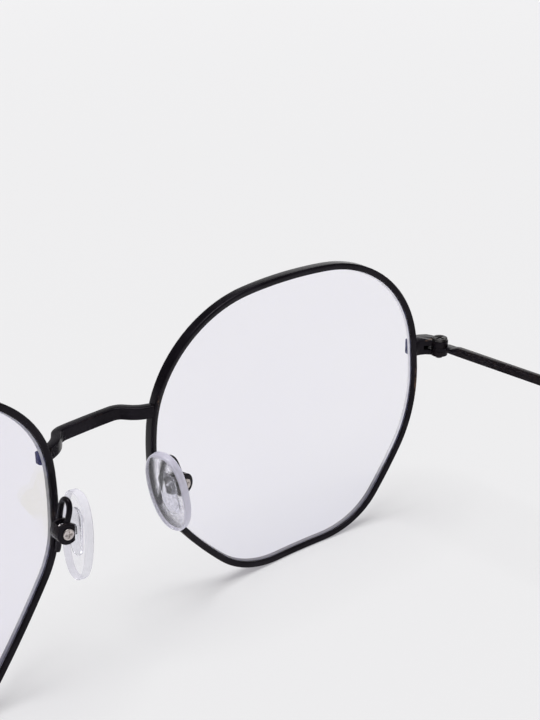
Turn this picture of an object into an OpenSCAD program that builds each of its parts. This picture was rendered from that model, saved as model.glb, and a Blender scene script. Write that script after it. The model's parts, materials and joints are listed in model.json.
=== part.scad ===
// Wire-rimmed spectacles, standing open on a table on the two rims and the two temple tips.
// +X is the wearer's left, +Y runs back along the temples and +Z is up, all in millimetres.
// Every side piece is drawn for the left side, round the left lens centre, and mirrored for the right.

/* [Front] */
// Distance from the middle of the front to each lens centre
lens_x = 35.8; // [35.6:0.1:36.2]
// Turn of each rim about its own upright middle line, in degrees
wrap_angle = 6; // [5.5:0.5:6.5]
// Radius of the sphere that the rims and lenses follow
base_radius = 96; // [92:2:104]
// Width of the rim wire, seen from the front
rim_w = 1.05; // [1:0.05:1.2]
// Depth of the rim wire, front to back
rim_d = 2.05; // [1.9:0.05:2.3]
// Depth of the groove that holds the lens bevel
groove_d = 0.4; // [0.3:0.05:0.45]
// Thickness of the lens
lens_t = 1.2; // [1.1:0.1:1.4]
// How far the lens lies behind the middle of the rim wire
lens_back = 0.15; // [0:0.05:0.2]
// Height of the bridge bar above the lens centres
bridge_z = 10.2; // [9.8:0.1:10.6]
// Height of the bridge bar
bridge_h = 1.9; // [1.6:0.05:2.1]
// Thickness of the bridge bar, front to back
bridge_t = 1.45; // [1.2:0.05:1.6]

/* [Hinges] */
// Distance of each hinge screw from the middle of the front
hinge_x = 66; // [65.8:0.1:66.3]
// Distance of each hinge screw behind the lens centres
hinge_y = 9.2; // [9:0.1:9.5]
// Height of the end pieces
end_h = 2.6; // [2.3:0.05:2.8]
// Radius of the round ends of the end pieces
knuckle_r = 1.45; // [1.4:0.05:1.6]
// Thickness of the temple's leaf, between the two ears of the end piece
leaf_t = 0.7; // [0.6:0.05:0.9]
// Radius of the hinge screw's shank
hinge_screw_r = 0.6; // [0.55:0.05:0.7]
// Radial gap between the hinge screw and the temple's eye
hinge_gap = 0.04; // [0.02:0.01:0.08]

/* [Temples] */
// Length of a temple from its hinge screw to the bend behind the ear
temple_len = 92; // [86:1:98]
// Height of the temple strip
strip_h = 1.55; // [1.45:0.05:1.8]
// Thickness of the temple strip
strip_t = 0.8; // [0.7:0.05:0.9]
// Radius of the tip sleeves
tip_r = 1.75; // [1.6:0.05:1.9]
// Slope of the tips below level, past the bend, in degrees
tip_angle = 40; // [36:1:44]
// Radius of the bend behind the ear
bend_r = 20; // [16:1:24]

/* [Nose pads] */
// Length of a nose pad
pad_l = 13; // [12:0.5:14]
// Width of a nose pad
pad_w = 7.3; // [6.8:0.1:7.5]
// Thickness of a nose pad
pad_t = 1.4; // [1:0.1:1.5]
// Turn of a pad's face towards the face of the wearer, in degrees
pad_splay = 8; // [6:1:10]
// Lean of a pad, its lower end further back, in degrees
pad_lean = 4.5; // [3:0.5:6]
// Lean of a pad, its lower end further from the nose, in degrees
pad_flare = 6.5; // [5.5:0.5:7.5]
// Radius of the wire of the pad arms
arm_r = 0.42; // [0.38:0.02:0.46]
// How much further down the right arm is bent than the left, while its pad keeps its height
right_drop = 0.7; // [0:0.1:0.8]

/* [Hidden] */
$fn = 48;

// Corners of the middle line of the rim wire, out from the lens centre and up, going clockwise
// from the upper corner by the nose
corner = [[-23, 21.7], [23.2, 22], [26.9, -5.4], [12.9, -24.5], [-9.8, -24.5], [-26, -5.5]];
// How much of its length each side bows outwards, from the side above the lens on
bow = [0.056, 0.031, 0.055, 0.005, 0.046, 0.071];
// Length of side that the rounding of each corner takes
round_cut = [14.3, 16.1, 8, 6.8, 6.4, 3.9];
// Sections along each side and along each rounded corner of a rim
side_steps = 8;
// Place along the outline where the rim is split, at the end piece: the side's number, then its part
split_at = 1.2;
// Half of the gap in the split rim, as a part of a side
split_gap = 0.011;
// Small gap that keeps parts apart that are screwed or set together
seat_gap = 0.03;

black = [0.05, 0.05, 0.055];
steel = [0.75, 0.75, 0.76];
clear = [0.86, 0.86, 0.93, 0.4];

function unit(v) = v / norm(v);
function mix(a, b, s) = a + (b - a) * s;

// A side of the outline: a shallow arch between two corners, cut back at both ends
function side_part(i, s) = let (len = norm(corner[(i + 1) % 6] - corner[i]))
    mix(round_cut[i] / len, 1 - round_cut[(i + 1) % 6] / len, s);
function side_out(i) = let (d = unit(corner[(i + 1) % 6] - corner[i])) [-d[1], d[0]];
function side_len(i) = norm(corner[(i + 1) % 6] - corner[i]);
function side_point(i, s) = let (t = side_part(i, s))
    mix(corner[i], corner[(i + 1) % 6], t) + side_out(i) * 4 * bow[i] * side_len(i) * t * (1 - t);
function side_heading(i, s) = let (t = side_part(i, s))
    unit(corner[(i + 1) % 6] - corner[i] + side_out(i) * 4 * bow[i] * side_len(i) * (1 - 2 * t));
// A corner of the outline: a round curve from one side's end to the next side's start
function corner_point(i, s) = let (k = (i + 1) % 6, a = side_point(i, 1), b = side_point(k, 0),
        ta = side_heading(i, 1), tb = side_heading(k, 0), turn = acos(ta * tb),
        reach = norm(b - a) * 4 / 3 * tan(turn / 4) / (2 * sin(turn / 2)))
    a * pow(1 - s, 3) + (a + ta * reach) * 3 * s * pow(1 - s, 2)
    + (b - tb * reach) * 3 * s * s * (1 - s) + b * pow(s, 3);
// The whole outline: t runs from 0 to 6, one unit for each side and the corner that follows it
function outline(t) = let (w = t - 6 * floor(t / 6), i = floor(w), s = w - i)
    s < 0.5 ? side_point(i, 2 * s) : corner_point(i, 2 * s - 1);
function outward(t) = let (d = unit(outline(t + 0.01) - outline(t - 0.01))) [-d[1], d[0]];

// From the flat outline to the curved, turned front: p is out and up, b is the depth behind
function sag(p) = base_radius - sqrt(base_radius * base_radius - p * p);
function wrap(p, b) = let (y = sag(p) + b)
    [p[0] * cos(wrap_angle) - y * sin(wrap_angle), p[0] * sin(wrap_angle) + y * cos(wrap_angle), p[1]];

rim_steps = 12 * side_steps;
lens_z = rim_w / 2 - min([for (i = [0:rim_steps]) outline(i * 6 / rim_steps)[1]]);
split_z = outline(split_at)[1];

// Heights in the end piece, over the lens centre; its middle lies a little over the split
ear_gap = leaf_t + 0.1;
end_lift = 0.065;
end_low = split_z + end_lift - end_h / 2;
end_top = end_low + end_h;
leaf_low = split_z - leaf_t / 2;

// The flat leaf behind the hinge tapers into the strip, which lies a little outside and above it
leaf_w = 2;
leaf_x = hinge_x + 0.6;
leaf_len = 2.4;
taper_len = 1.7;
strip_x = hinge_x + 0.2;
strip_z = split_z + 0.3;

// The sleeve starts as a cone on the strip; inside it the temple goes on as a round core
cone_len = 12;
cone_r = 1.3;
cone_y = hinge_y + temple_len - 24;
core_r = 0.55;
core_y = cone_y + 4;
bend_y = hinge_y + temple_len;
bend_len = bend_r * sin(tip_angle);
bend_drop = bend_r * (1 - cos(tip_angle));
// The round tip ends on the table
tip_len = (lens_z + strip_z - bend_drop - tip_r) / sin(tip_angle);
core_end = 6;

// Ends of the whole object, front and back, and its middle
bar_y = -1.85;
front_y = bar_y - bridge_t / 2;
back_y = bend_y + bend_len + tip_len * cos(tip_angle) + tip_r;
middle_y = (front_y + back_y) / 2;

// The pad's screw crosses its box; the pad, its insert and the box are drawn round it
pad_screw_at = [10.2, 5.7, 0.2];
pad_screw_r = 0.45;
box_r = 1.55;
box_len = 2.4;
boss_r = 0.9;
boss_len = 1.2;
// Middle of the pad's back, seen from the screw: towards the nose, forward and down
pad_at = [-1.5, -0.35, -1.2];

module at_front() {
    translate([0, -middle_y, lens_z]) children();
}

// Puts a left side piece on either side
module on_side(left) {
    if (left) at_front() children();
    else mirror([1, 0, 0]) at_front() children();
}

// A solid skinned over rings of points; each ring goes the same way round. Each end is a fan of
// triangles round its own middle point, middles[0] or middles[1].
module skin(rings, middles) {
    n = len(rings);
    m = len(rings[0]);
    sides = [for (i = [0:n - 2]) for (j = [0:m - 1])
        [i * m + j, i * m + (j + 1) % m, (i + 1) * m + (j + 1) % m, (i + 1) * m + j]];
    ends = [for (j = [0:m - 1]) each [[n * m, (j + 1) % m, j],
        [n * m + 1, (n - 1) * m + j, (n - 1) * m + (j + 1) % m]]];
    polyhedron(concat([for (r = rings) each r], middles), concat(sides, ends));
}
function middle(ring) = let (n = len(ring)) [for (k = [0:2]) [for (p = ring) p[k]] * [for (p = ring) 1] / n];
function middles(rings) = [middle(rings[0]), middle(rings[len(rings) - 1])];

// The rim wire's section, out from its middle and back: round outside, grooved inside
half_w = rim_w / 2;
half_d = rim_d / 2;
rim_section = [[-half_w, -0.55 + lens_back], [-half_w, -0.8 * half_d], [-0.6 * half_w, -half_d],
    [0.3 * half_w, -half_d], [0.85 * half_w, -0.65 * half_d], [half_w, -0.22 * half_d], [half_w, 0.22 * half_d],
    [0.85 * half_w, 0.65 * half_d], [0.3 * half_w, half_d], [-0.6 * half_w, half_d],
    [-half_w, 0.8 * half_d], [-half_w, 0.55 + lens_back], [groove_d - half_w, lens_back]];

module rim() {
    first = split_at + split_gap;
    last = split_at + 6 - split_gap;
    // the rings of the whole outline between the two cut ends
    inner = [for (i = [0:2 * rim_steps]) let (t = i * 6 / rim_steps)
        if (t > first + 0.01 && t < last - 0.01) t];
    places = concat([first], inner, [last]);
    rings = [for (t = places) [for (q = rim_section) wrap(outline(t) + outward(t) * q[0], q[1])]];
    color(black) translate([lens_x, 0, 0]) skin(rings, middles(rings));
}

// The lens edge's profile, out from the rim's middle line and back, with the bevel in the groove
lens_edge = -half_w - seat_gap;
lens_profile = [[lens_edge, lens_t / 2], [lens_edge, 0.5], [groove_d - half_w - 0.05, 0],
    [lens_edge, -0.5], [lens_edge, -lens_t / 2]];
lens_rings = 4;

module lens() {
    places = [for (i = [0:rim_steps - 1]) i * 6 / rim_steps];
    face = [for (k = [1:lens_rings - 1]) k / lens_rings];
    function face_ring(k, b) = [for (t = places)
        wrap((outline(t) + outward(t) * lens_edge) * k, b + lens_back)];
    rings = concat([for (k = face) face_ring(k, lens_t / 2)],
        [for (q = lens_profile) [for (t = places) wrap(outline(t) + outward(t) * q[0], q[1] + lens_back)]],
        [for (k = [lens_rings - 1:-1:1]) face_ring(k / lens_rings, -lens_t / 2)]);
    poles = [for (b = [1, -1]) wrap([0, 0], b * lens_t / 2 + lens_back)];
    color(clear) translate([lens_x, 0, 0]) skin(rings, poles);
}

// Plan of one half of the bridge, along its middle: the bar, then the leg that bends back to the rim
bar_half = [[0, bar_y], [2.5, bar_y + 0.02], [4.6, -1.7], [5.45, -1.3], [6.05, -0.55], [6.6, 0.15],
    [7.4, 0.85], [8.3, 1.35], [9.15, 1.7]];

module bridge() {
    n = len(bar_half);
    function across(i) = let (d = unit(bar_half[min(i + 1, n - 1)] - bar_half[max(i - 1, 0)]))
        i == 0 ? [0, 1] : [-d[1], d[0]];
    // one edge of the bar from the far end of the right leg to the far end of the left leg
    function edge(side) = let (half = [for (i = [0:n - 1]) bar_half[i] + across(i) * side * bridge_t / 2])
        concat([for (i = [n - 1:-1:1]) [-half[i][0], half[i][1]]], half);
    front = edge(-1);
    color(black) {
        at_front() translate([0, 0, bridge_z - bridge_h / 2]) linear_extrude(bridge_h)
            polygon(concat(edge(1), [for (i = [len(front) - 1:-1:0]) front[i]]));
        for (left = [true, false]) on_side(left) bridge_foot();
    }
}

// The end of each leg also reaches round the front of the rim, to a lug that hangs down a little
foot_top = bridge_z - 0.2;
foot_h = 1.6;
foot_r = 0.42;
foot_x = [9.2, 9.75];
foot_y = -0.2;
web_h = 1.1;

module bridge_foot() {
    translate([0, 0, foot_top - foot_h]) linear_extrude(foot_h) {
        for (x = foot_x) translate([x, foot_y]) circle(foot_r);
        translate([foot_x[0], foot_y - foot_r]) square([foot_x[1] - foot_x[0], 2 * foot_r]);
    }
    // the web between the leg and the lug
    translate([0, 0, foot_top - web_h]) linear_extrude(web_h)
        polygon([[8.1, 0.9], [foot_x[0], foot_y - foot_r], [foot_x[1], foot_y], [9.2, 1.5], [8.6, 1.5]]);
}

// Plan of the end piece: a block on the outer side of the rim, narrowing to the round ear
module end_plan() {
    translate([hinge_x, hinge_y]) circle(knuckle_r);
    polygon([[62, 5.7], [62.6, 4.05], [64.2, 4.3], [65.4, 5], [66.5, 5.9], [66.9, 7.3],
        [hinge_x + knuckle_r * cos(-20), hinge_y + knuckle_r * sin(-20)], [hinge_x, hinge_y],
        [hinge_x - knuckle_r * cos(30), hinge_y - knuckle_r * sin(30)],
        [64.2, 7.75], [63.4, 7.2], [62.8, 7], [62, 7.1]]);
}

// The lock's lower half reaches back to here; the lower ear is behind it
lock_y = 6.4;
lens_screw_at = [64.3, 5.4];
lens_screw_r = 0.5;
slot_r = 2.7;
thread_gap = 0.02;
// How far the hinge screw's end shows under the lower ear
shank_end = 0.55;

module leaf_slot() {
    translate([hinge_x, hinge_y, split_z - ear_gap / 2]) cylinder(h = ear_gap, r = slot_r);
}

module endpiece() {
    color(black) difference() {
        translate([0, 0, end_low]) linear_extrude(end_h) end_plan();
        leaf_slot();
        // room for the lower half of the lock
        translate([60, 0, end_low - 1]) cube([10, lock_y + seat_gap, split_z - end_low + 1 + seat_gap]);
        translate([hinge_x, hinge_y, end_low - 1]) cylinder(h = end_h + 2, r = hinge_screw_r + thread_gap);
        translate([lens_screw_at[0], lens_screw_at[1], split_z - 1])
            cylinder(h = 1.9, r = lens_screw_r + thread_gap);
    }
}

module rim_lock() {
    color(black) difference() {
        intersection() {
            translate([0, 0, end_low]) linear_extrude(split_z - seat_gap - end_low) end_plan();
            translate([60, 0, end_low - 1]) cube([10, lock_y - seat_gap, end_h + 2]);
        }
        leaf_slot();
        translate([lens_screw_at[0], lens_screw_at[1], end_low - 1])
            cylinder(h = end_h, r = lens_screw_r + 2 * thread_gap);
    }
}

module screw(shank_r, length, head_r, head_h) {
    color(steel) difference() {
        union() {
            translate([0, 0, -length]) cylinder(h = length, r = shank_r);
            cylinder(h = head_h, r = head_r);
        }
        // cross slot
        for (a = [0, 90]) rotate(a) translate([-head_r * 0.65, -0.13, head_h - 0.2])
            cube([head_r * 1.3, 0.26, 1]);
    }
}

module lens_screw() {
    translate([lens_screw_at[0], lens_screw_at[1], end_low]) mirror([0, 0, 1])
        screw(lens_screw_r, split_z - end_low + 0.7, 0.8, 0.3);
}

module hinge_screw() {
    translate([hinge_x, hinge_y, end_top]) screw(hinge_screw_r, end_h + shank_end, 1.3, 0.45);
}

// An upright block seen from above, whose back end has another width, height and place than its front
module taper(x0, z0, w0, h0, x1, z1, w1, h1, y, length) {
    function ring(x, z, w, h, at) =
        [for (q = [[-w, -h], [w, -h], [w, h], [-w, h]]) [x + q[0] / 2, at, z + q[1] / 2]];
    rings = [ring(x0, z0, w0, h0, y), ring(x1, z1, w1, h1, y + length)];
    skin(rings, middles(rings));
}

// The temple: an eye and a flat leaf in the end piece's slot, a taper, an upright strip and a round core
module temple() {
    color(black) {
        difference() {
            translate([0, 0, leaf_low]) linear_extrude(leaf_t) union() {
                translate([hinge_x, hinge_y]) circle(knuckle_r - 0.1);
                polygon([[hinge_x - 0.9, hinge_y + 0.9], [leaf_x - leaf_w / 2, hinge_y + 1.6],
                    [leaf_x - leaf_w / 2, hinge_y + leaf_len], [leaf_x + leaf_w / 2, hinge_y + leaf_len],
                    [leaf_x + leaf_w / 2, hinge_y + 1.1], [hinge_x + 1.2, hinge_y + 0.4], [hinge_x, hinge_y]]);
            }
            translate([hinge_x, hinge_y, leaf_low - 1]) cylinder(h = 3, r = hinge_screw_r + hinge_gap);
        }
        taper(leaf_x, split_z, leaf_w, leaf_t, strip_x, strip_z, strip_t, strip_h,
            hinge_y + leaf_len, taper_len);
        translate([strip_x - strip_t / 2, hinge_y + leaf_len + taper_len, strip_z - strip_h / 2])
            cube([strip_t, core_y - hinge_y - leaf_len - taper_len, strip_h]);
        tip_path(core_r, core_y - 1, tip_len - core_end, -0.03);
    }
}

// A round bar along the temple's end: level from start, bent down behind the ear, then straight. The
// bend's own radius differs by step and runs on a little inside both straights, so that they are one.
module tip_path(r, start, drop_len, step) {
    run_on = 1;
    translate([strip_x, start, strip_z]) rotate([-90, 0, 0]) cylinder(h = bend_y - start, r = r);
    translate([strip_x, bend_y, strip_z - bend_r]) rotate([90, 0, 90]) rotate([0, 0, 90 - tip_angle - run_on])
        rotate_extrude(angle = tip_angle + 2 * run_on) translate([bend_r, 0]) circle(r + step);
    at_tip() cylinder(h = drop_len, r = r);
}

// The straight tip past the bend, with z along it
module at_tip() {
    translate([strip_x, bend_y + bend_len, strip_z - bend_drop]) rotate([-90 - tip_angle, 0, 0]) children();
}

module temple_tip() {
    color(black) difference() {
        union() {
            tip_path(tip_r, cone_y + cone_len - 0.5, tip_len, -0.03);
            translate([strip_x, cone_y, strip_z]) rotate([-90, 0, 0])
                cylinder(h = cone_len, r1 = cone_r, r2 = tip_r - 0.02);
            // the round end
            at_tip() translate([0, 0, tip_len - 0.5]) rotate_extrude() {
                square([tip_r - 0.02, 0.5]);
                translate([0, 0.5]) intersection() {
                    circle(tip_r - 0.02);
                    square(tip_r);
                }
            }
        }
        translate([strip_x - strip_t / 2 - seat_gap, cone_y - 1, strip_z - strip_h / 2 - seat_gap])
            cube([strip_t + 2 * seat_gap, core_y - cone_y + 1 + seat_gap, strip_h + 2 * seat_gap]);
        tip_path(core_r + seat_gap, core_y - 1, tip_len - core_end + 0.3, 0.03);
    }
}

// Points of the pad arm's wire, from the solder spot behind the rim, up, over and down to the box
arm_points = [[9.55, 2.5, -4.6], [9.5, 2.75, -3.9], [9.45, 3.1, -2.2], [9.4, 3.3, -0.6], [9.35, 3.5, 0.8],
    [9.25, 3.75, 2.2], [9.2, 4.1, 3.3], [9.15, 4.55, 4.1], [9.15, 5.1, 4.45], [9.2, 5.75, 4.4], [9.3, 6.15, 3.9],
    [9.5, 6.3, 3.1], [9.8, 6.3, 2.2], [10.05, 6.2, 1.3]];
arm_sides = 10;
// The right arm is lower from its third point on
low_from = 2;
function drop(left) = left ? 0 : right_drop;
function arm_point(i, left) = arm_points[i] - [0, 0, drop(left) * min(i / low_from, 1)];

module pad_arm(left) {
    n = len(arm_points);
    side = [1, 0, 0];
    rings = [for (i = [0:n - 1])
        let (d = unit(arm_point(min(i + 1, n - 1), left) - arm_point(max(i - 1, 0), left)),
            a = unit(side - d * (side * d)), b = cross(d, a))
        [for (j = [0:arm_sides - 1]) arm_point(i, left)
            + arm_r * (a * cos(360 * j / arm_sides) - b * sin(360 * j / arm_sides))]];
    color(black) skin(rings, middles(rings));
}

// The pad's own frame: x out from the nose, y back along the screw, z up the pad
module at_pad(left) {
    translate(pad_screw_at - [0, 0, drop(left)])
        rotate([0, 0, -pad_splay]) rotate([pad_lean, 0, 0]) rotate([0, -pad_flare, 0]) children();
}

module along_screw(y, length, r) {
    translate([0, y, 0]) rotate([-90, 0, 0]) cylinder(h = length, r = r);
}

module pad_box(left) {
    color(black) at_pad(left) difference() {
        along_screw(-box_len / 2, box_len, box_r);
        // open towards the pad, with a slot for the insert's boss
        translate([-box_r - 1, -box_len, -2]) cube([1.5, 2 * box_len, 4]);
        translate([-3, -boss_len / 2 - 0.1, -2]) cube([4, boss_len + 0.2, 4]);
        along_screw(-3, 6, pad_screw_r + thread_gap);
    }
}

module pad_screw(left) {
    at_pad(left) translate([0, box_len / 2, 0]) rotate([-90, 0, 0]) screw(pad_screw_r, box_len, 0.8, 0.25);
}

plate_l = 7;
plate_w = 3.2;
plate_t = 0.5;
// How deep the plate lies under the back of the pad
plate_in = 0.2;
neck_h = 1.3;

// The hard plate inside the pad; grow widens it for the pocket that it fills
module pad_plate(grow) {
    translate([pad_at[0] - plate_in - plate_t - grow, 0, -0.5]) rotate([0, 90, 0])
        linear_extrude(plate_t + 2 * grow) {
            square([plate_l - plate_w, plate_w + 2 * grow], center = true);
            for (s = [-1, 1]) translate([s * (plate_l - plate_w) / 2, 0]) circle(plate_w / 2 + grow);
        }
}

module pad_neck(grow) {
    translate([pad_at[0] - plate_in - 0.1, -boss_len / 2 - grow, -neck_h / 2 - grow])
        cube([-pad_at[0] - 0.35, boss_len + 2 * grow, neck_h + 2 * grow]);
}

module pad_insert(left) {
    color(clear) at_pad(left) difference() {
        union() {
            pad_plate(0);
            pad_neck(0);
            along_screw(-boss_len / 2, boss_len, boss_r);
        }
        along_screw(-3, 6, pad_screw_r + 0.04);
    }
}

// Outline of the pad, back and up: egg-like, a little narrower at the bottom
pad_places = 32;
function pad_outline(k) = let (g = 360 * k / pad_places, c = cos(g), s = sin(g))
    [sign(c) * pow(abs(c), 0.85) * pad_w / 2 * (1 + 0.05 * s), sign(s) * pow(abs(s), 0.9) * pad_l / 2];
// Half of the pad's cross profile, from the back to the nose: size of the outline, part of the thickness
pad_profile = [[0.45, 0], [0.92, 0], [1, 0.2], [1, 0.8], [0.92, 1], [0.45, 0.92]];

module nose_pad(left) {
    rings = [for (q = pad_profile) [for (k = [0:pad_places - 1]) let (p = pad_outline(k) * q[0])
        [-q[1] * pad_t, p[0], p[1]]]];
    color(clear) at_pad(left) difference() {
        translate(pad_at + [0, 0, drop(left)]) skin(rings, middles(rings));
        pad_plate(seat_gap);
        pad_neck(seat_gap);
    }
}

bridge();
on_side(true) rim();  // left_rim
on_side(true) lens();  // left_lens
on_side(true) endpiece();  // left_endpiece
on_side(true) rim_lock();  // left_rim_lock
on_side(true) lens_screw();  // left_lens_screw
on_side(true) hinge_screw();  // left_hinge_screw
on_side(true) temple();  // left_temple
on_side(true) temple_tip();  // left_temple_tip
on_side(true) pad_arm(true);  // left_pad_arm
on_side(true) pad_box(true);  // left_pad_box
on_side(true) pad_screw(true);  // left_pad_screw
on_side(true) pad_insert(true);  // left_pad_insert
on_side(true) nose_pad(true);  // left_nose_pad
on_side(false) rim();  // right_rim
on_side(false) lens();  // right_lens
on_side(false) endpiece();  // right_endpiece
on_side(false) rim_lock();  // right_rim_lock
on_side(false) lens_screw();  // right_lens_screw
on_side(false) hinge_screw();  // right_hinge_screw
on_side(false) temple();  // right_temple
on_side(false) temple_tip();  // right_temple_tip
on_side(false) pad_arm(false);  // right_pad_arm
on_side(false) pad_box(false);  // right_pad_box
on_side(false) pad_screw(false);  // right_pad_screw
on_side(false) pad_insert(false);  // right_pad_insert
on_side(false) nose_pad(false);  // right_nose_pad
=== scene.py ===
import json
import math

import bmesh
import bpy
from mathutils import Matrix, Vector


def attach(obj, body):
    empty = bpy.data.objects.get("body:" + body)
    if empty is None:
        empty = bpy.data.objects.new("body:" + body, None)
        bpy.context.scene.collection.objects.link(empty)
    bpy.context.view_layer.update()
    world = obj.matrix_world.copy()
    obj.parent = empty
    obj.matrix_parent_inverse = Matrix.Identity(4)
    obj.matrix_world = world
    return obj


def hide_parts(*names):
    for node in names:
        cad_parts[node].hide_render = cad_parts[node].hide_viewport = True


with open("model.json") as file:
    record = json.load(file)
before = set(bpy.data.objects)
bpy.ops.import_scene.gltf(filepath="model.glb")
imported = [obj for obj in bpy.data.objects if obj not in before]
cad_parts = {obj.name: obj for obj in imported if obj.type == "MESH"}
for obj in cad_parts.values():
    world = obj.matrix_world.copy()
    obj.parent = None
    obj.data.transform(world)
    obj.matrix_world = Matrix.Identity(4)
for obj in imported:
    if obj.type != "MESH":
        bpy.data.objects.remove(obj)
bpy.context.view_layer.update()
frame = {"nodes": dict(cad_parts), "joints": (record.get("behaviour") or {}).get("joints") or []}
mm = 0.001
sides = (("left", 1), ("right", -1))
print("frame loaded:", len(frame["nodes"]), "nodes")

# Sizes below are in millimetres from the point midway between the lens centres: x to the wearer's
# left, y back, z up. The left hinge, which the frame states, puts that point in the frame.
hinge = {"x": 66, "y": 9.2, "z": 4.745}
foldAt = Vector(next(j["pos_m"] for j in frame["joints"] if j["name"] == "left_temple_fold"))
centre = foldAt / mm - Vector((hinge["x"], hinge["y"], hinge["z"]))


# One socket of a node tree, so that its maths can be written as an expression
class Term:
    def __init__(self, graph, socket):
        self.graph, self.socket = graph, socket

    def math(self, operation, *others):
        values = {0: self}
        values.update({i + 1: other for i, other in enumerate(others)})
        return self.graph.add("ShaderNodeMath", {"operation": operation}, values)

    def __add__(self, other):
        return self.math("ADD", other)

    def __sub__(self, other):
        return self.math("SUBTRACT", other)

    def __rsub__(self, other):
        return self.graph.add("ShaderNodeMath", {"operation": "SUBTRACT"}, {0: other, 1: self})

    def __mul__(self, other):
        return self.math("MULTIPLY", other)

    __radd__ = __add__

    def out(self, name):
        return Term(self.graph, self.socket.node.outputs[name])

    # 0 below low, 1 above high, or the other way round, with a soft change between them
    def between(self, low, high):
        return self.graph.add("ShaderNodeMapRange", {"interpolation_type": "SMOOTHSTEP"},
                              {"Value": self, "From Min": low, "From Max": high})


# A shader or geometry tree that is filled node by node
class Graph:
    def __init__(self, tree):
        self.tree = tree
        tree.nodes.clear()

    def add(self, kind, settings=None, values=None, out=0):
        node = self.tree.nodes.new(kind)
        for key, value in (settings or {}).items():
            setattr(node, key, value)
        for key, value in (values or {}).items():
            self.feed(node.inputs[key], value)
        return Term(self, node.outputs[out]) if node.outputs else node

    def feed(self, socket, value):
        if isinstance(value, Term):
            self.tree.links.new(value.socket, socket)
        else:
            socket.default_value = value

    def vectors(self, operation, a, b=None, scale=None, out=0):
        values = {0: a}
        if b is not None:
            values[1] = b
        if scale is not None:
            values["Scale"] = scale
        return self.add("ShaderNodeVectorMath", {"operation": operation}, values, out)

    def join(self, x, y, z):
        return self.add("ShaderNodeCombineXYZ", None, {0: x, 1: y, 2: z})

    def split(self, vector):
        parts = self.add("ShaderNodeSeparateXYZ", None, {0: vector})
        return parts, parts.out("Y"), parts.out("Z")

    def blend(self, share, a, b):
        return self.add("ShaderNodeMix", {"data_type": "RGBA"}, {0: share, 6: a, 7: b}, 2)

    # Noise over the surface: waves to the metre, levels of detail and how strong the fine ones are
    def noise(self, place, waves, detail, roughness=0.5):
        return self.add("ShaderNodeTexNoise", None, {
            "Vector": place, "Scale": waves, "Detail": detail, "Roughness": roughness})

    def bump(self, strength, depth, height):
        return self.add("ShaderNodeBump", None, {
            "Strength": strength, "Distance": depth, "Height": height})


def colour(r, g, b):
    return (r, g, b, 1.0)


# Materials. Noises are given as waves to the metre, levels of detail and, where it isn't 0.5, the
# strength of the fine ones. A range holds the noise values between which the effect sets in. Bumps
# are a strength and a depth in metres.

def newMaterial(name):
    material = bpy.data.materials.new(name)
    material.use_nodes = True
    return material, Graph(material.node_tree)


# Near-black lacquer on metal: a soft sheen, orange-peel bumps and brown metal where it has worn
lacquer = {
    "base": colour(0.0062, 0.0052, 0.0074),
    "bloom": colour(0.0125, 0.0107, 0.0148),
    "worn": colour(0.15, 0.09, 0.06),
    "cloud": (260, 3),
    "cloudRange": (0.35, 0.7),
    "grain": (2600, 4),
    "bump": (0.06, 0.00005),
    "roughness": 0.2,
    "roughnessRange": 0.1,
    "wornRoughness": 0.2,
    "specular": 0.11,
    "sheen": colour(0.97, 0.88, 1.0),
}

# Where the lacquer has worn: thin specks all over, more of them on sharp edges, and most at the
# rubbed spots. A spot's range starts lower, by the second number, the more strongly it is rubbed.
wear = {
    "speck": (1400, 5, 0.7),
    "speckRange": (0.66, 0.74),
    "speckShare": 0.12,
    "sharpness": (0.53, 0.6),
    "edgeRange": (0.42, 0.58),
    "spotRange": ((0.62, 0.28), (0.72, 0.2)),
    "spotCore": 0.4,
}


# A soft spot round a point in millimetres, reach wide each way, and full over its core
def spot(graph, place, at, reach, side):
    at = (Vector((side * at[0], at[1], at[2])) + Vector((0, centre.y, centre.z))) * mm
    offset = graph.vectors("SUBTRACT", place, tuple(at))
    scaled = graph.vectors("DIVIDE", offset, tuple(r * mm for r in reach))
    return graph.vectors("LENGTH", scaled, out="Value").between(1.0, wear["spotCore"])


# edgeWear is how strongly sharp edges are rubbed. wornSpots are other places where the colour is
# rubbed off: point, reach and how strongly.
def blackLacquer(name, edgeWear, wornSpots=(), side=1):
    material, g = newMaterial(name)
    place = g.add("ShaderNodeTexCoord", out="Object")
    cloud = g.noise(place, *lacquer["cloud"])
    grain = g.noise(place, *lacquer["grain"])
    speck = g.noise(place, *wear["speck"])
    worn = speck.between(*wear["speckRange"]) * wear["speckShare"]
    for at, reach, strength in wornSpots:
        rubbed = speck.between(*(start - lower * strength for start, lower in wear["spotRange"]))
        worn = worn.math("MAXIMUM", spot(g, place, at, reach, side) * rubbed * strength)
    edge = g.add("ShaderNodeNewGeometry", out="Pointiness").between(*wear["sharpness"])
    worn = worn.math("MAXIMUM", edge * speck.between(*wear["edgeRange"]) * edgeWear)
    base = g.blend(cloud.between(*lacquer["cloudRange"]), lacquer["base"], lacquer["bloom"])
    base = g.blend(worn, base, lacquer["worn"])
    roughness = lacquer["roughness"] + cloud * lacquer["roughnessRange"] + worn * lacquer["wornRoughness"]
    shader = g.add("ShaderNodeBsdfPrincipled", None, {
        "Base Color": base, "Roughness": roughness, "Normal": g.bump(*lacquer["bump"], grain),
        "Specular IOR Level": lacquer["specular"], "Specular Tint": lacquer["sheen"]})
    g.add("ShaderNodeOutputMaterial", None, {"Surface": shader})
    return material


# 0 above the first height in millimetres, 1 below the second
def lowDown(graph, place, heights):
    return graph.split(place)[2].between(*((z + centre.z) * mm for z in heights))


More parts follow.
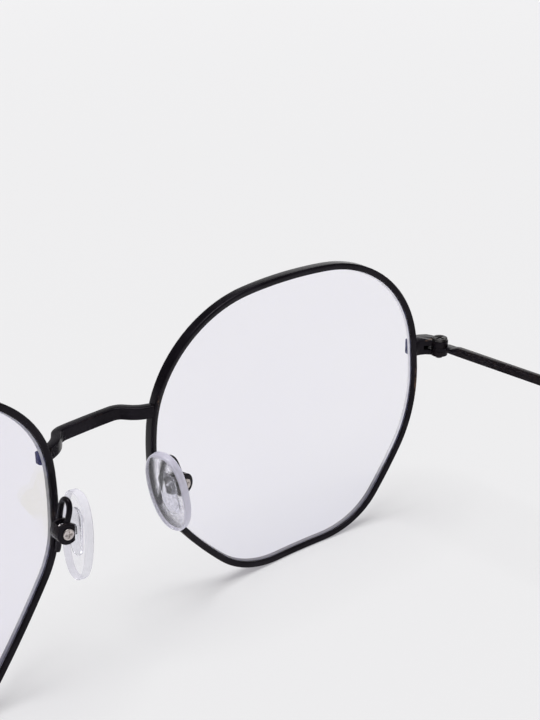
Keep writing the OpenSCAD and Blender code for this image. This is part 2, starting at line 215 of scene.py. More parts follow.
# Clear lens with a faint lilac cast: it bends what is behind it, and its coating throws some blue
# light back, which shows where something dark is behind it. Its tint darkens towards the bottom, a
# painted shade, and the left lens is tinted darker than the right, also painted shade.
lensGlass = {
    # the low tints are painted shade towards the bottom of the lens; the left tints are painted darker
    # than the right
    "left": {"tint": colour(0.928, 0.914, 0.975), "patch": colour(0.936, 0.922, 0.98),
             "low": colour(0.905, 0.892, 0.952)},
    "right": {"tint": colour(0.955, 0.945, 0.995), "patch": colour(0.965, 0.957, 1.0),
              "low": colour(0.90, 0.895, 0.945)},
    "low": (-2, -26),
    "haze": (45, 2),
    "hazeRange": (0.3, 0.7),
    "ior": 1.59,
    "coating": colour(0.24, 0.29, 1.0),
    "coatingLevel": 1.0,
    "passing": colour(0.97, 0.965, 0.985),
}


# Light that only brightens other surfaces goes straight through clear pieces
def letThrough(g, shader, tint):
    rays = g.add("ShaderNodeLightPath", out="Is Shadow Ray")
    straight = g.add("ShaderNodeBsdfTransparent", None, {"Color": tint})
    share = rays.math("MAXIMUM", rays.out("Is Diffuse Ray"))
    both = g.add("ShaderNodeMixShader", None, {0: share, 1: shader, 2: straight})
    g.add("ShaderNodeOutputMaterial", None, {"Surface": both})


def clearLens(label):
    material, g = newMaterial(label + "ClearLens")
    place = g.add("ShaderNodeTexCoord", out="Object")
    haze = g.noise(place, *lensGlass["haze"])
    tintsAndPaintedShade = lensGlass[label]
    tint = g.blend(haze.between(*lensGlass["hazeRange"]), tintsAndPaintedShade["tint"], tintsAndPaintedShade["patch"])
    # painted shade: the tint darkens towards the bottom of the lens
    tint = g.blend(lowDown(g, place, lensGlass["low"]), tint, tintsAndPaintedShade["low"])
    glass = g.add("ShaderNodeBsdfPrincipled", None, {
        "Base Color": tint, "Roughness": 0.0, "IOR": lensGlass["ior"], "Transmission Weight": 1.0,
        "Specular IOR Level": lensGlass["coatingLevel"], "Specular Tint": lensGlass["coating"]})
    letThrough(g, glass, lensGlass["passing"])
    return material


# The ground edge of the lens: pale at the front with a faint glow, a painted light that is
# stronger on the right, dark where it sits deep in the groove, a painted shade, and grey without
# the glow low down
groundTones = {
    # the glow colours are painted light on the pale front of the edge, brighter on the right; the dark
    # tone is painted shade deep in the groove
    "leftPale": {"base": (colour(0.36, 0.355, 0.38), colour(0.48, 0.475, 0.50)),
                 "low": colour(0.17, 0.16, 0.165), "paintedGlow": colour(0.06, 0.06, 0.065)},
    "rightPale": {"base": (colour(0.60, 0.59, 0.62), colour(0.72, 0.71, 0.74)),
                  "low": colour(0.24, 0.23, 0.225), "paintedGlow": colour(0.24, 0.24, 0.25)},
    "dark": {"base": (colour(0.035, 0.033, 0.038), colour(0.08, 0.075, 0.085)),
             "low": colour(0.10, 0.095, 0.098), "paintedGlow": colour(0, 0, 0)},
    "low": (-12, -20),
    "grind": (900, 3),
    "grindRange": (0.3, 0.7),
    "roughness": 0.55,
}


def groundEdge(tone):
    material, g = newMaterial(tone + "LensEdgePaintedLight")
    place = g.add("ShaderNodeTexCoord", out="Object")
    grind = g.noise(place, *groundTones["grind"])
    edgeLightAndShade = groundTones[tone]
    low = lowDown(g, place, groundTones["low"])
    base = g.blend(grind.between(*groundTones["grindRange"]), *edgeLightAndShade["base"])
    base = g.blend(low, base, edgeLightAndShade["low"])
    # painted light: the edge glows faintly, and the glow fades out low down
    shader = g.add("ShaderNodeBsdfPrincipled", None, {
        "Base Color": base, "Roughness": groundTones["roughness"], "Emission Strength": 1.0,
        "Emission Color": g.blend(low, edgeLightAndShade["paintedGlow"], colour(0, 0, 0))})
    g.add("ShaderNodeOutputMaterial", None, {"Surface": shader})
    return material


# Clear soft plastic bends and slightly blurs what is behind it
softPlastic = {
    "mottle": (900, 4),
    "mottleRange": (0.4, 0.7),
    "mottleShade": 0.93,
    "mottleHeight": 0.5,
    "swirl": (320, 2),
    "roughnessRange": 0.06,
    "bump": (0.12, 0.0002),
    "passing": colour(0.95, 0.95, 0.97),
}

# Frost is the mottled matt skin of a pad's face, but for a clear window
padFrost = {
    "crust": (2400, 5, 0.75),
    "crustRange": (0.42, 0.58),
    "crustBase": 0.5,
    "roughness": {"left": 0.02, "right": 0.16},
    "grain": {"left": 0.2, "right": 1.5},
    "tint": {"left": colour(0.95, 0.95, 0.97), "right": colour(0.52, 0.51, 0.58)},
    "window": (9.0, 5.3, 0.9),
    "reach": (4, 1.7, 3.3),
}


# through is the share of light that passes, frosted the side whose frost it has
def clearPlastic(name, tint, roughness, through, ior, frosted=None):
    material, g = newMaterial(name)
    place = g.add("ShaderNodeTexCoord", out="Object")
    mottle = g.noise(place, *softPlastic["mottle"])
    swirl = g.noise(place, *softPlastic["swirl"])
    height = mottle * softPlastic["mottleHeight"] + swirl
    shade = colour(*(c * softPlastic["mottleShade"] for c in tint[:3]))
    base = g.blend(mottle.between(*softPlastic["mottleRange"]), tint, shade)
    rough = mottle * softPlastic["roughnessRange"] + roughness
    if frosted:
        crust = g.noise(place, *padFrost["crust"])
        matt = 1 - spot(g, place, padFrost["window"], padFrost["reach"], dict(sides)[frosted])
        base = g.blend(matt * crust.between(*padFrost["crustRange"]), base, padFrost["tint"][frosted])
        rough = rough + matt * padFrost["roughness"][frosted] * (crust + padFrost["crustBase"])
        height = height + matt * crust * padFrost["grain"][frosted]
    shader = g.add("ShaderNodeBsdfPrincipled", None, {
        "Base Color": base, "Roughness": rough, "IOR": ior,
        "Transmission Weight": through, "Normal": g.bump(*softPlastic["bump"], height)})
    letThrough(g, shader, softPlastic["passing"])
    return material


# Steel screws: finely scratched, with dark patches where lacquer ran on to them
steel = {
    "scratch": (3800, 3),
    "patch": (1500, 3),
    "patchRange": (0.4, 0.62),
    "patchColour": colour(0.035, 0.03, 0.03),
    "roughnessRange": 0.2,
    "bump": (0.2, 0.00004),
}


def screwSteel(name, tint, roughness, dark):
    material, g = newMaterial(name)
    place = g.add("ShaderNodeTexCoord", out="Object")
    scratch = g.noise(place, *steel["scratch"])
    patch = g.noise(place, *steel["patch"])
    base = g.blend(patch.between(*steel["patchRange"]) * dark, tint, steel["patchColour"])
    shader = g.add("ShaderNodeBsdfPrincipled", None, {
        "Base Color": base, "Metallic": 1.0, "Roughness": scratch * steel["roughnessRange"] + roughness,
        "Normal": g.bump(*steel["bump"], scratch)})
    g.add("ShaderNodeOutputMaterial", None, {"Surface": shader})
    return material


# Black acetate sleeve: glossy, with faint brown clouds
acetate = {
    "base": colour(0.008, 0.008, 0.009),
    "brown": colour(0.02, 0.017, 0.016),
    "cloud": (90, 3),
    "cloudRange": (0.35, 0.75),
    "polish": (700, 3),
    "bump": (0.04, 0.0001),
    "roughness": 0.12,
    "roughnessRange": 0.14,
    "coat": 0.5,
    "coatRoughness": 0.06,
}


def tipAcetate():
    material, g = newMaterial("tipAcetate")
    place = g.add("ShaderNodeTexCoord", out="Object")
    cloud = g.noise(place, *acetate["cloud"])
    polish = g.noise(place, *acetate["polish"])
    base = g.blend(cloud.between(*acetate["cloudRange"]), acetate["base"], acetate["brown"])
    shader = g.add("ShaderNodeBsdfPrincipled", None, {
        "Base Color": base, "Roughness": polish * acetate["roughnessRange"] + acetate["roughness"],
        "Normal": g.bump(*acetate["bump"], polish),
        "Coat Weight": acetate["coat"], "Coat Roughness": acetate["coatRoughness"]})
    g.add("ShaderNodeOutputMaterial", None, {"Surface": shader})
    return material


# painted shade: the lens edge deep in the groove is painted dark
grooveShadeEdge = groundEdge("dark")
# painted light: the pale front of the edge glows
glowingFrontEdge = {label: groundEdge(label + "Pale") for label, _ in sides}
# The pads' back, wall and face. The left pad nearly vanishes, so it bends light less.
padLook = {
    "ior": {"left": 1.05, "right": 1.42},
    "tint": colour(0.96, 0.955, 0.985),
    "wall": {
        "left": {"tint": colour(0.92, 0.905, 0.985), "roughness": 0.15, "through": 0.6},
        "right": {"tint": colour(0.84, 0.81, 0.95), "roughness": 0.3, "through": 0.4},
    },
}
padClear, padWall, padFace = {}, {}, {}
for label, ior in padLook["ior"].items():
    padClear[label] = clearPlastic(label + "PadClear", padLook["tint"], roughness=0.02, through=1.0,
                                   ior=ior)
    padWall[label] = clearPlastic(label + "PadWall", **padLook["wall"][label], ior=ior)
    padFace[label] = clearPlastic(label + "PadFace", padLook["tint"], roughness=0.03, through=1.0,
                                  ior=ior, frosted=label)
insertClear = clearPlastic("insertClear", colour(0.93, 0.93, 0.96), roughness=0.05, through=0.95,
                           ior=1.2)
hingeSteel = screwSteel("hingeScrewFinish", colour(0.10, 0.095, 0.095), roughness=0.3, dark=0.9)
padSteel = screwSteel("padScrewFinish", colour(0.66, 0.6, 0.58), roughness=0.25, dark=0.15)
tipSleeve = tipAcetate()
print("materials made:", len(bpy.data.materials))


# Helpers for meshes

def linkObject(name, data):
    thing = bpy.data.objects.new(name, data)
    bpy.context.scene.collection.objects.link(thing)
    return thing


def evaluated(thing):
    bpy.context.view_layer.update()
    graph = bpy.context.evaluated_depsgraph_get()
    return bpy.data.meshes.new_from_object(thing.evaluated_get(graph))


# How near points are joined in metres, or in millimetres in the shell tree, and how flat two
# faces of a copy have to lie, in degrees, to be made one
cleaning = {"weld": 2e-7, "copyWeld": 1e-7, "wireWeld": 5e-7, "shellWeld": 0.002, "flat": 0.6}

# Edges of the copies of CAD nodes, in degrees: rounded from one angle, shaded as sharp from another
copyEdges = {"roundFrom": 28, "segments": 2, "sharpFrom": 35}


# A finished piece: faces outwards, smooth but for its sharp edges, riding on its body
def finishPiece(name, mesh, body, nodes, sharpAngle):
    shape = bmesh.new()
    shape.from_mesh(mesh)
    bmesh.ops.remove_doubles(shape, verts=shape.verts, dist=cleaning["weld"])
    bmesh.ops.recalc_face_normals(shape, faces=shape.faces)
    if shape.calc_volume(signed=True) < 0:
        bmesh.ops.reverse_faces(shape, faces=shape.faces)
    shape.to_mesh(mesh)
    shape.free()
    mesh.shade_smooth()
    mesh.set_sharp_from_angle(angle=math.radians(sharpAngle))
    piece = linkObject(name, mesh)
    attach(piece, body)
    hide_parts(*nodes)
    return piece


# A geometry tree with named inputs: name, socket type and start value of each
def newTree(name, inputs):
    tree = bpy.data.node_groups.new(name, "GeometryNodeTree")
    tree.interface.new_socket("Geometry", in_out="INPUT", socket_type="NodeSocketGeometry")
    for label, kind, start in inputs:
        socket = tree.interface.new_socket(label, in_out="INPUT", socket_type="NodeSocket" + kind)
        if start is not None:
            socket.default_value = start
    tree.interface.new_socket("Geometry", in_out="OUTPUT", socket_type="NodeSocketGeometry")
    g = Graph(tree)
    return g, g.add("NodeGroupInput")


def runTree(tree, thing, values):
    modifier = thing.modifiers.new("shape", "NODES")
    modifier.node_group = tree
    for item in tree.interface.items_tree:
        if item.in_out == "INPUT" and item.name in values:
            modifier[item.identifier] = values[item.name]
    mesh = evaluated(thing)
    thing.modifiers.remove(modifier)
    return mesh


# Rims, lenses and nose pads: a section carried round an outline, then bent on to a sphere.
# The outline holds points on x and y. The section's points hold a share of the outline's size,
# a distance out from it and a depth. Edge and front are given from 0 at the section's first point
# to 1 at its last: an edge from 2 is none, and one to 3 runs to the section's end.
def shellTree():
    g, given = newTree("shellRoundOutline", [
        ("Section", "Object", None), ("Places", "Int", 96), ("Rows", "Int", 12),
        ("Sphere Radius", "Float", 96.0), ("Turn", "Vector", None), ("Shift", "Vector", None),
        ("Side", "Float", 1.0), ("Edge From", "Float", 2.0), ("Edge To", "Float", 3.0),
        ("Front From", "Float", 2.0), ("Material", "Material", None),
        ("Edge Material", "Material", None), ("Front Material", "Material", None)])
    section = g.add("GeometryNodeObjectInfo", {"transform_space": "ORIGINAL"},
                    {"Object": given.out("Section")}, "Geometry")
    places, rows = given.out("Places"), given.out("Rows")
    grid = g.add("GeometryNodeMeshGrid", None, {
        "Size X": 1.0, "Size Y": 1.0, "Vertices X": places + 1, "Vertices Y": rows})
    across, down, _ = g.split(g.add("GeometryNodeInputPosition"))
    column = ((across + 0.5) * places).math("ROUND")
    row = ((down + 0.5) * (rows - 1)).math("ROUND")

    def pick(geometry, index):
        return g.add("GeometryNodeSampleIndex", {"data_type": "FLOAT_VECTOR", "clamp": True}, {
            "Geometry": geometry, "Value": g.add("GeometryNodeInputPosition"), "Index": index})

    outline = given.out("Geometry")
    here = pick(outline, column.math("FLOORED_MODULO", places))
    ahead = pick(outline, (column + 1).math("FLOORED_MODULO", places))
    behind = pick(outline, (column - 1).math("FLOORED_MODULO", places))
    heading = g.vectors("NORMALIZE", g.vectors("SUBTRACT", ahead, behind))
    headingX, headingY, _ = g.split(heading)
    outward = g.join(0 - headingY, headingX, 0)
    share, out, depth = g.split(pick(section, row))
    shrunk = g.vectors("SCALE", here, scale=share)
    flat = g.vectors("ADD", shrunk, g.vectors("SCALE", outward, scale=out))
    x, z, _ = g.split(flat)
    radius = given.out("Sphere Radius")
    sag = radius - (radius * radius - x * x - z * z).math("SQRT")
    inEdge = (down + 0.5).math("GREATER_THAN", given.out("Edge From")) * (
        down + 0.5).math("LESS_THAN", given.out("Edge To"))
    inFront = inEdge * (down + 0.5).math("GREATER_THAN", given.out("Front From"))
    marked = grid
    for label, value in (("edge", inEdge), ("frontEdge", inFront)):
        marked = g.add("GeometryNodeStoreNamedAttribute", {"data_type": "BOOLEAN", "domain": "FACE"}, {
            "Geometry": marked, "Name": label, "Value": value})
    placed = g.add("GeometryNodeSetPosition", None, {
        "Geometry": marked, "Position": g.join(x, sag + depth, z)})
    merged = g.add("GeometryNodeMergeByDistance", None, {
        "Geometry": placed, "Distance": cleaning["shellWeld"]})
    turned = g.add("GeometryNodeTransform", None, {
        "Geometry": merged, "Scale": (mm, mm, mm), "Rotation": given.out("Turn"),
        "Translation": given.out("Shift")})
    mirrored = g.add("GeometryNodeTransform", None, {
        "Geometry": turned, "Scale": g.join(given.out("Side"), 1.0, 1.0)})
    real = g.add("GeometryNodeRealizeInstances", None, {"Geometry": mirrored})
    done = g.add("GeometryNodeSetMaterial", None, {"Geometry": real, "Material": given.out("Material")})
    for label, kind in (("edge", "Edge Material"), ("frontEdge", "Front Material")):
        part = g.add("GeometryNodeInputNamedAttribute", {"data_type": "BOOLEAN"}, {"Name": label})
        done = g.add("GeometryNodeSetMaterial", None, {
            "Geometry": done, "Selection": part, "Material": given.out(kind)})
    g.add("NodeGroupOutput", None, {0: done})
    return g.tree


# Bridge and pad arms: a smooth curve through given points, swept with a rounded section
def wireTree():
    g, given = newTree("wireAlongCurve", [
        ("Width", "Float", 1.0), ("Height", "Float", 1.0), ("Corner", "Float", 0.3),
        ("Steps", "Int", 60), ("Material", "Material", None)])
    cornerSteps = 5
    smooth = g.add("GeometryNodeCurveSplineType", {"spline_type": "CATMULL_ROM"}, {
        "Curve": given.out("Geometry")})
    even = g.add("GeometryNodeResampleCurve", None, {"Curve": smooth, "Count": given.out("Steps")})
    upright = g.add("GeometryNodeSetCurveNormal", {"mode": "Z_UP"}, {"Curve": even})
    box = g.add("GeometryNodeCurvePrimitiveQuadrilateral", {"mode": "RECTANGLE"}, {
        "Width": given.out("Width"), "Height": given.out("Height")})
    section = g.add("GeometryNodeFilletCurve", {"mode": "POLY"}, {
        "Curve": box, "Count": cornerSteps, "Radius": given.out("Corner"), "Limit Radius": True})
    swept = g.add("GeometryNodeCurveToMesh", None, {
        "Curve": upright, "Profile Curve": section, "Fill Caps": True})
    merged = g.add("GeometryNodeMergeByDistance", None, {
        "Geometry": swept, "Distance": cleaning["wireWeld"]})
    real = g.add("GeometryNodeRealizeInstances", None, {"Geometry": merged})
    done = g.add("GeometryNodeSetMaterial", None, {"Geometry": real, "Material": given.out("Material")})
    g.add("NodeGroupOutput", None, {0: done})
    return g.tree


shell = shellTree()
wire = wireTree()


def pointsObject(name, points):
    mesh = bpy.data.meshes.new(name)
    mesh.from_pydata([tuple(p) + (0,) * (3 - len(p)) for p in points], [], [])
    return linkObject(name, mesh)


def curveObject(name, points):
    curve = bpy.data.curves.new(name, "CURVE")
    curve.dimensions = "3D"
    spline = curve.splines.new("POLY")
    spline.points.add(len(points) - 1)
    for place, point in zip(spline.points, points):
        place.co = tuple((Vector(point) + centre) * mm) + (1,)
    return linkObject(name, curve)


# A copy of a CAD node, its sharp edges rounded over to a width in millimetres
def roundedCopy(name, node, body, material, width):
    mesh = frame["nodes"][node].data.copy()
    shape = bmesh.new()
    shape.from_mesh(mesh)
    bmesh.ops.remove_doubles(shape, verts=shape.verts, dist=cleaning["copyWeld"])
    bmesh.ops.dissolve_limit(shape, angle_limit=math.radians(cleaning["flat"]), verts=shape.verts,
                             edges=shape.edges)
    shape.to_mesh(mesh)
    shape.free()
    thing = linkObject(name + "Source", mesh)
    if width:
        bevel = thing.modifiers.new("roundedEdges", "BEVEL")
        bevel.width, bevel.segments = width * mm, copyEdges["segments"]
        bevel.limit_method, bevel.angle_limit = "ANGLE", math.radians(copyEdges["roundFrom"])
        bevel.use_clamp_overlap = True
    made = evaluated(thing)
    bpy.data.objects.remove(thing)
    made.materials.clear()
    made.materials.append(material)
    for face in made.polygons:
        face.material_index = 0
    return finishPiece(name, made, body, [node], copyEdges["sharpFrom"])


# The front

# Middle line of the rim wire: six shallow arches joined by round corners, clockwise from the
# upper corner by the nose
rim = {
    "corners": [(-23, 21.7), (23.2, 22), (26.9, -5.4), (12.9, -24.5), (-9.8, -24.5), (-26, -5.5)],
    "bows": [0.056, 0.031, 0.055, 0.005, 0.046, 0.071],
    "rounding": [14.3, 16.1, 8, 6.8, 6.4, 3.9],
    "steps": 22,
    "width": 1.05,
    "depth": 2.05,
    "groove": 0.4,
    "grooveMouth": 0.5,
    "lip": ((0.4, 0.05), (0.48, 0)),
    "outerRound": 0.42,
    "outerSteps": 7,
    "innerRound": 0.12,
    "innerSteps": 3,
    "sharpAngle": 50,
    "edgeWear": 0.12,
    "wornSpots": {
        "left": [],
        "right": [((61.9, 7.45, -1.0), (0.35, 0.35, 6.0), 0.8), ((9.55, 2.6, 8), (0.3, 0.3, 8), 0.6)],
    },
    "lensX": 35.8,
    "turn": 6,
    "sphere": 96,
}
arches = len(rim["corners"])

# The lens lies a little behind the middle of the rim wire. The front slope of its bevel is pale,
# with a painted glow, down to the share called shade, and painted dark as shade from there to the tip.
lens = {
    "thickness": 1.2,
    "rings": 26,
    "bevel": 0.5,
    "gap": 0.03,
    "tipGap": 0.05,
    "step": 0.02,
    "back": 0.15,
    "shade": 0.55,
    "sharpAngle": 30,
}


def mix(a, b, share):
    return a + (b - a) * share


def arch(i, share):
    after = (i + 1) % arches
    a, b = Vector(rim["corners"][i]), Vector(rim["corners"][after])
    along = b - a
    out = Vector((-along.y, along.x)) / along.length
    t = mix(rim["rounding"][i] / along.length, 1 - rim["rounding"][after] / along.length, share)
    rise = 4 * rim["bows"][i] * along.length
    point = mix(a, b, t) + out * rise * t * (1 - t)
    return point, (along + out * rise * (1 - 2 * t)).normalized()


# A cubic curve from one arch to the next, with handles as for part of a circle
def roundCorner(i, share):
    (a, leaving), (b, arriving) = arch(i, 1), arch((i + 1) % arches, 0)
    turn = leaving.angle(arriving)
    reach = (b - a).length * 4 / 3 * math.tan(turn / 4) / (2 * math.sin(turn / 2))
    c, d, s = a + leaving * reach, b - arriving * reach, share
    return a * (1 - s) ** 3 + c * 3 * s * (1 - s) ** 2 + d * 3 * s * s * (1 - s) + b * s ** 3


def rimOutline():
    points, steps = [], rim["steps"]
    for i in range(arches):
        points += [arch(i, k / steps)[0] for k in range(steps)]
        points += [roundCorner(i, k / steps) for k in range(steps)]
    return points


# Points of a quarter or half round between two directions, in degrees
def roundPoints(x, y, radius, start, end, steps):
    angles = [math.radians(mix(start, end, k / steps)) for k in range(steps + 1)]
    return [(x + radius * math.cos(a), y + radius * math.sin(a)) for a in angles]


def rimSection():
    w, d = rim["width"] / 2, rim["depth"] / 2
    inner, outer, steps = rim["innerRound"], rim["outerRound"], rim["outerSteps"]
    back, mouth = lens["back"], rim["grooveMouth"]
    # the lip in front of the lens leans away from it
    points = [(-w, -mouth + back)] + [(-w + out, -d + depth) for out, depth in rim["lip"]]
    points += roundPoints(w - outer, -d + outer, outer, 270, 360, steps)
    points += roundPoints(w - outer, d - outer, outer, 0, 90, steps)
    points += roundPoints(-w + inner, d - inner, inner, 90, 180, rim["innerSteps"])
    points += [(-w, mouth + back), (rim["groove"] - w, back), (-w, -mouth + back)]
    return [(1, out, depth) for out, depth in points]


def lensSection():
    edge, half = -rim["width"] / 2 - lens["gap"], lens["thickness"] / 2
    shares = [k / lens["rings"] for k in range(lens["rings"] + 1)]
    rear = [(s, edge * s, half) for s in shares]
    apex = rim["groove"] - rim["width"] / 2 - lens["tipGap"]
    foot, shade = edge + lens["step"], lens["shade"]
    tip = [(1, foot, lens["bevel"]), (1, apex, 0),
           (1, mix(foot, apex, shade), -lens["bevel"] * (1 - shade)), (1, foot, -lens["bevel"])]
    front = [(s, edge * s, -half) for s in reversed(shares)]
    return [(share, out, depth + lens["back"]) for share, out, depth in rear + tip + front]


outline = rimOutline()
outlineThing = pointsObject("rimOutline", outline)
rimThing = pointsObject("rimSection", rimSection())
lensThing = pointsObject("lensSection", lensSection())
lensRows = len(lensThing.data.vertices)
# Five rows of faces make the lens's edge, after the rings of its back, and the last two are pale.
# Each limit lies between the middles of two rows.
edgeFrom, edgeTo, paleFrom = ((lens["rings"] + row) / (lensRows - 1) for row in (-0.4, 5.4, 3))
for label, side in sides:
    common = {
        "Places": len(outline), "Sphere Radius": float(rim["sphere"]),
        "Turn": (0.0, 0.0, math.radians(rim["turn"])),
        "Shift": tuple((Vector((rim["lensX"], 0, 0)) + centre) * mm), "Side": float(side),
    }
    material = blackLacquer(label + "RimLacquer", rim["edgeWear"], rim["wornSpots"][label], side)
    mesh = runTree(shell, outlineThing, {
        **common, "Section": rimThing, "Rows": len(rimThing.data.vertices),
        "Material": material, "Edge Material": material})
    finishPiece(label + "RimWire", mesh, "front", [label + "_rim"], rim["sharpAngle"])
    mesh = runTree(shell, outlineThing, {
        **common, "Section": lensThing, "Rows": lensRows,
        "Edge From": edgeFrom, "Edge To": edgeTo, "Front From": paleFrom,
        "Material": clearLens(label), "Edge Material": grooveShadeEdge,
        "Front Material": glowingFrontEdge[label]})
    finishPiece(label + "LensGlass", mesh, "front", [label + "_lens"], lens["sharpAngle"])
for thing in (outlineThing, rimThing, lensThing):
    bpy.data.objects.remove(thing)
print("rims and lenses made")

# Middle line of the bridge, one half: the bar, then the leg back to the rim
bridge = {
    "half": [(0, -1.85), (1.3, -1.84), (2.5, -1.83), (3.8, -1.79), (4.6, -1.7), (5.45, -1.3),
             (6.05, -0.55), (6.6, 0.15), (7.4, 0.85), (8.3, 1.35), (9.15, 1.7)],
    "z": 10.2,
    "height": 1.9,
    "thickness": 1.45,
    "corner": 0.2,
    "steps": 90,
    "edgeWear": 0.08,
    "sharpAngle": 50,
    "footX": 9.475,
    "footY": -0.2,
    "footWidth": 1.39,
    "footDepth": 0.84,
    "footLow": 8.4,
    "footTop": 10.0,
}
half = [(x, y, bridge["z"]) for x, y in bridge["half"]]
path = [(-x, y, z) for x, y, z in reversed(half[1:])] + half
bridgeThing = curveObject("bridgePath", path)
bridgeLacquer = blackLacquer("bridgeLacquer", bridge["edgeWear"])
mesh = runTree(wire, bridgeThing, {
    "Width": bridge["thickness"] * mm, "Height": bridge["height"] * mm, "Corner": bridge["corner"] * mm,
    "Steps": bridge["steps"], "Material": bridgeLacquer})
bpy.data.objects.remove(bridgeThing)
finishPiece("bridgeBar", mesh, "front", ["bridge"], bridge["sharpAngle"])
for label, side in sides:
    x, y = side * bridge["footX"], bridge["footY"]
    footThing = curveObject("footPath", [(x, y, bridge["footLow"]), (x, y, bridge["footTop"])])
    mesh = runTree(wire, footThing, {
        "Width": bridge["footDepth"] * mm, "Height": bridge["footWidth"] * mm,
        "Corner": bridge["footDepth"] / 2 * mm, "Steps": 2, "Material": bridgeLacquer})
    bpy.data.objects.remove(footThing)
    finishPiece(label + "BridgeFoot", mesh, "front", ["bridge"], bridge["sharpAngle"])
print("bridge made")

# Wire of the pad arms, from its solder spot behind the rim, up, over and down to the box. The
# right one is bent lower, from the point lowFrom on.
arm = {
    "points": [(9.55, 2.5, -4.6), (9.5, 2.75, -3.9), (9.45, 3.1, -2.2), (9.4, 3.3, -0.6),
               (9.35, 3.5, 0.8), (9.25, 3.75, 2.2), (9.2, 4.1, 3.3), (9.15, 4.55, 4.1),
               (9.15, 5.1, 4.45), (9.2, 5.75, 4.4), (9.3, 6.15, 3.9), (9.5, 6.3, 3.1),
               (9.8, 6.3, 2.2), (10.05, 6.2, 1.3)],
    "radius": 0.42,
    "drop": {"left": 0, "right": 0.7},
    "lowFrom": 2,
    "steps": 80,
    "edgeWear": 0.15,
    "sharpAngle": 60,
}
for label, side in sides:
    drops = [arm["drop"][label] * min(i / arm["lowFrom"], 1) for i in range(len(arm["points"]))]
    path = [(side * x, y, z - low) for (x, y, z), low in zip(arm["points"], drops)]
    armThing = curveObject("armPath", path)
    mesh = runTree(wire, armThing, {
        "Width": 2 * arm["radius"] * mm, "Height": 2 * arm["radius"] * mm, "Corner": arm["radius"] * mm,
        "Steps": arm["steps"], "Material": blackLacquer(label + "ArmLacquer", arm["edgeWear"])})
    bpy.data.objects.remove(armThing)
    finishPiece(label + "PadArmWire", mesh, "front", [label + "_pad_arm"],
                arm["sharpAngle"])
print("pad arms made")

# Nose pads: an egg outline, squarer than an ellipse and a little wider above
pad = {
    "screwAt": (10.2, 5.7, 0.2),
    "splay": 8,
    "lean": 4.5,
    "flare": 6.5,
    "at": (-1.5, -0.35, -1.2),
    "length": 13,
    "width": 7.3,
    "wider": 0.05,
    "square": (0.85, 0.9),
    "thickness": 1.4,
    "round": 0.34,
    "roundSteps": 5,
    "backRise": 0.02,
    "sphere": 400.0,
    "places": 96,
    "rings": 8,
    "sharpAngle": 60,
    "insertEdge": 0.06,
}


def padOutline():
    points = []
    across, along = pad["square"]
    for k in range(pad["places"]):
        a = 2 * math.pi * k / pad["places"]
        c, s = math.cos(a), math.sin(a)
        back = math.copysign(abs(c) ** across, c) * pad["width"] / 2 * (1 + pad["wider"] * s)
        up = math.copysign(abs(s) ** along, s) * pad["length"] / 2
        points.append((-back, up))
    return points


# The section's points, and the points at which its wall and its face start
def padSection():
    t, r, steps = pad["thickness"], pad["round"], pad["roundSteps"]
    shares = [k / pad["rings"] for k in range(pad["rings"] + 1)]
    back = [(s, -r * s, -pad["backRise"]) for s in shares]
    wall = [(1, out, depth) for out, depth in roundPoints(-r, -r, r, 90, 0, steps)[1:]]
    wall += [(1, out, depth) for out, depth in roundPoints(-r, -t + r, r, 0, -90, steps)]
    face = [(s, -r * s, -t) for s in reversed(shares[:-1])]
    return back + wall + face, (len(back) - 1, len(back) + len(wall) - 1)


padPoints, (wallStart, wallEnd) = padSection()
padThing = pointsObject("padOutline", padOutline())
padSectionThing = pointsObject("padSection", padPoints)
stand = Matrix.Rotation(math.radians(-pad["splay"]), 4, "Z")
stand = stand @ Matrix.Rotation(math.radians(pad["lean"]), 4, "X")
stand = stand @ Matrix.Rotation(math.radians(-pad["flare"]), 4, "Y")
# the shell is made facing along y, so it is turned to face the nose first
facing = stand @ Matrix.Rotation(math.radians(-90), 4, "Z")
padRows = len(padPoints)
wallFrom, faceFrom = (wallStart + 0.6) / (padRows - 1), (wallEnd + 0.4) / (padRows - 1)
for label, side in sides:
    low = Vector((0, 0, arm["drop"][label]))
    padShift = stand @ (Vector(pad["at"]) + low) + Vector(pad["screwAt"]) - low + centre
    mesh = runTree(shell, padThing, {
        "Section": padSectionThing, "Places": pad["places"], "Rows": padRows,
        "Sphere Radius": pad["sphere"], "Turn": tuple(facing.to_euler()), "Shift": tuple(padShift * mm),
        "Side": float(side), "Edge From": wallFrom, "Front From": faceFrom,
        "Material": padClear[label], "Edge Material": padWall[label], "Front Material": padFace[label]})
    body = label + "_pad"
    finishPiece(label + "NosePad", mesh, body, [label + "_nose_pad"], pad["sharpAngle"])
    roundedCopy(label + "PadInsert", label + "_pad_insert", body, insertClear,
                pad["insertEdge"])
bpy.data.objects.remove(padThing)
bpy.data.objects.remove(padSectionThing)
print("nose pads made")

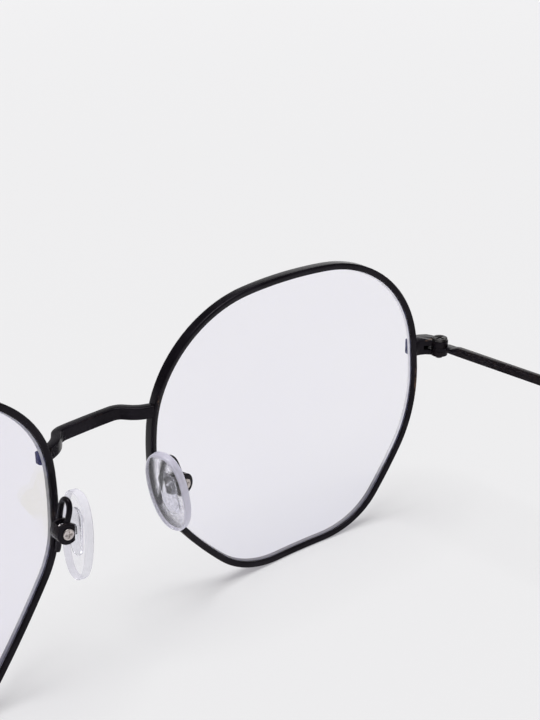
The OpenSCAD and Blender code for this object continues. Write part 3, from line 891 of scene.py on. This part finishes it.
# Pieces whose CAD shape stays, with rounded edges. The last value is how wide they are rounded.
hingeWear = [((64.5, 7.9, 6.1), (1.6, 0.4, 0.2), 0.8)]
stripWear = [((66.55, 20, 5.8), (0.25, 9, 0.25), 0.7)]
for label, side in sides:
    block = blackLacquer(label + "HingeLacquer", 0.2, hingeWear, side)
    boxLacquer = blackLacquer(label + "BoxLacquer", 0.25)
    stripLacquer = blackLacquer(label + "TempleLacquer", 0.15, stripWear, side)
    temple = label + "_temple"
    roundedCopy(label + "EndBlock", label + "_endpiece", "front", block, 0.12)
    roundedCopy(label + "RimLock", label + "_rim_lock", "front", block, 0.08)
    roundedCopy(label + "PadBox", label + "_pad_box", "front", boxLacquer, 0.14)
    roundedCopy(label + "LensScrew", label + "_lens_screw", "front", hingeSteel, 0.04)
    roundedCopy(label + "HingeScrew", label + "_hinge_screw", "front", hingeSteel, 0.07)
    roundedCopy(label + "PadScrew", label + "_pad_screw", "front", padSteel, 0.05)
    roundedCopy(label + "TempleStrip", temple, temple, stripLacquer, 0.12)
    roundedCopy(label + "TempleTip", temple + "_tip", temple, tipSleeve, 0)
print("hinges, temples and screws made")


# Floor, lights and camera

# Pale floor and surroundings. Seen straight, mirrored or through glass, the floor is partly lit by
# the lamps and partly glows, so it is an even grey that still takes shadows.
studio = {
    "floorReach": 4.0,
    "pale": 0.863,
    "glowShare": 0.35,
    "glow": colour(0.863, 0.835, 0.9),
    "litColour": colour(0.80, 0.81, 0.79),
    "skyOnPart": 0.333,
    "skyMirrored": 0.05,
    "sunPower": 2.2,
    "sunWidth": 40,
}


def paleGround():
    material, g = newMaterial("paleGround")
    rays = g.add("ShaderNodeLightPath", out="Is Camera Ray")
    seen = rays.math("MAXIMUM", rays.out("Is Glossy Ray"))
    seen = seen.math("MAXIMUM", rays.out("Is Transmission Ray"))
    lit = g.add("ShaderNodeBsdfDiffuse", None, {"Color": studio["litColour"]})
    glow = g.add("ShaderNodeEmission", None, {"Color": studio["glow"], "Strength": 1.0})
    both = g.add("ShaderNodeMixShader", None, {0: seen * studio["glowShare"], 1: lit, 2: glow})
    g.add("ShaderNodeOutputMaterial", None, {"Surface": both})
    return material


floorMesh = bpy.data.meshes.new("floor")
reach = studio["floorReach"]
corners = [(-reach, -reach, 0), (reach, -reach, 0), (reach, reach, 0), (-reach, reach, 0)]
floorMesh.from_pydata(corners, [], [(0, 1, 2, 3)])
floor = linkObject("floor", floorMesh)
floorMesh.materials.append(paleGround())

world = bpy.data.worlds.new("studio")
bpy.context.scene.world = world
world.use_nodes = True
g = Graph(world.node_tree)
rays = g.add("ShaderNodeLightPath", out="Is Camera Ray")
seen = rays.math("MAXIMUM", rays.out("Is Transmission Ray"))
strength = seen * (studio["pale"] - studio["skyOnPart"]) + studio["skyOnPart"]
strength = strength + rays.out("Is Glossy Ray") * (studio["skyMirrored"] - studio["skyOnPart"])
sky = g.add("ShaderNodeBackground", None, {"Color": colour(1, 1, 1), "Strength": strength})
g.add("ShaderNodeOutputWorld", None, {"Surface": sky})

# One wide soft light straight above, and a white card beyond the part for its top edges to mirror
sun = bpy.data.lights.new("overhead", "SUN")
sun.energy, sun.angle = studio["sunPower"], math.radians(studio["sunWidth"])
linkObject("overhead", sun)
card = {"at": (-1.5, -1.6, 0.46), "aim": (0, 0, 0.1), "width": 2.6, "height": 1.0, "power": 10.0}
lamp = bpy.data.lights.new("card", "AREA")
lamp.shape, lamp.size, lamp.size_y = "RECTANGLE", card["width"], card["height"]
lamp.energy = card["power"]
cardThing = linkObject("card", lamp)
cardThing.location = card["at"]
towards = Vector(card["aim"]) - Vector(card["at"])
cardThing.rotation_euler = towards.to_track_quat("-Z", "Y").to_euler()

# The photograph's own view: focal length and frame height in pixels, and how the camera lies
view = {
    "focal": 1194.8,
    "frameHeight": 720,
    "filmWidth": 36,
    "clip": (0.005, 20),
    "right": (-0.717805, 0.696110, -0.013635),
    "down": (0.291320, 0.282498, -0.913962),
    "forward": (-0.632366, -0.660020, -0.405570),
    "at": (85.786, 125.405, 86.642),
}
camera = bpy.data.cameras.new("camera")
camera.sensor_width = view["filmWidth"]
camera.lens = view["focal"] / view["frameHeight"] * camera.sensor_width
camera.clip_start, camera.clip_end = view["clip"]
cameraThing = linkObject("camera", camera)
axes = Matrix((view["right"], [-d for d in view["down"]], [-d for d in view["forward"]])).transposed()
cameraThing.matrix_world = Matrix.Translation((Vector(view["at"]) + centre) * mm) @ axes.to_4x4()
scene = bpy.context.scene
scene.camera = cameraThing
scene.view_settings.view_transform = "Standard"
print("floor, lights and camera made")
